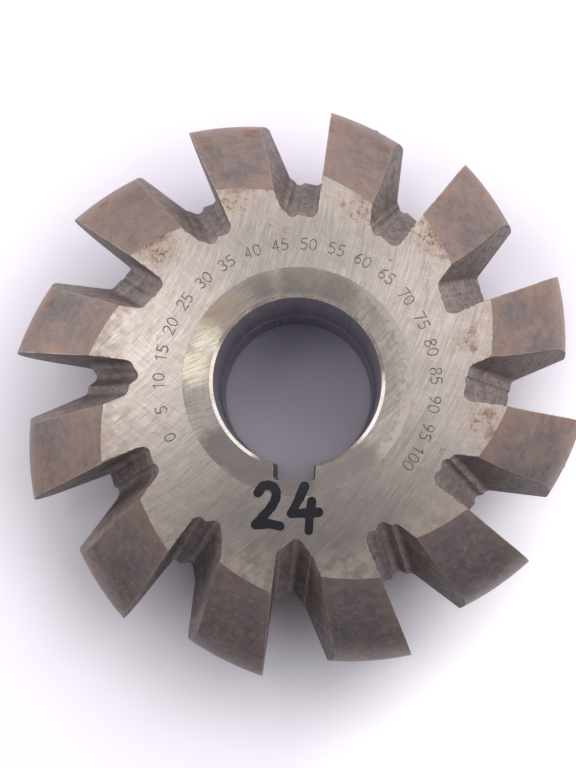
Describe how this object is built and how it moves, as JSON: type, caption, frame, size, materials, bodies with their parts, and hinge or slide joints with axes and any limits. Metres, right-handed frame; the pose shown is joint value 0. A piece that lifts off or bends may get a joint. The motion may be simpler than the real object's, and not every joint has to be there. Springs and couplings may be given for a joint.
{
  "type": "form-relieved sprocket milling cutter",
  "caption": "Disc-shaped milling cutter with form-relieved teeth, radial cutting faces, roof-floored flutes and a keyed bore, for cutting the tooth gaps of roller-chain wheels.",
  "frame": {"origin": "on the bore axis, in the plane of the lower clamping face", "axes": "+Z along the bore axis, towards the side face that the picture shows; -Y towards the keyway; the cutting faces look anticlockwise as seen from +Z"},
  "size_m": [0.1444, 0.1444, 0.045],
  "materials": {
    "cutter_body": "ground side faces with fine scratches, brown-grey patina on the relieved teeth, dark milled flutes, a little rust"
  },
  "bodies": {
    "root": {"cutter_body": "cutter_body"}
  },
  "joints": []
}
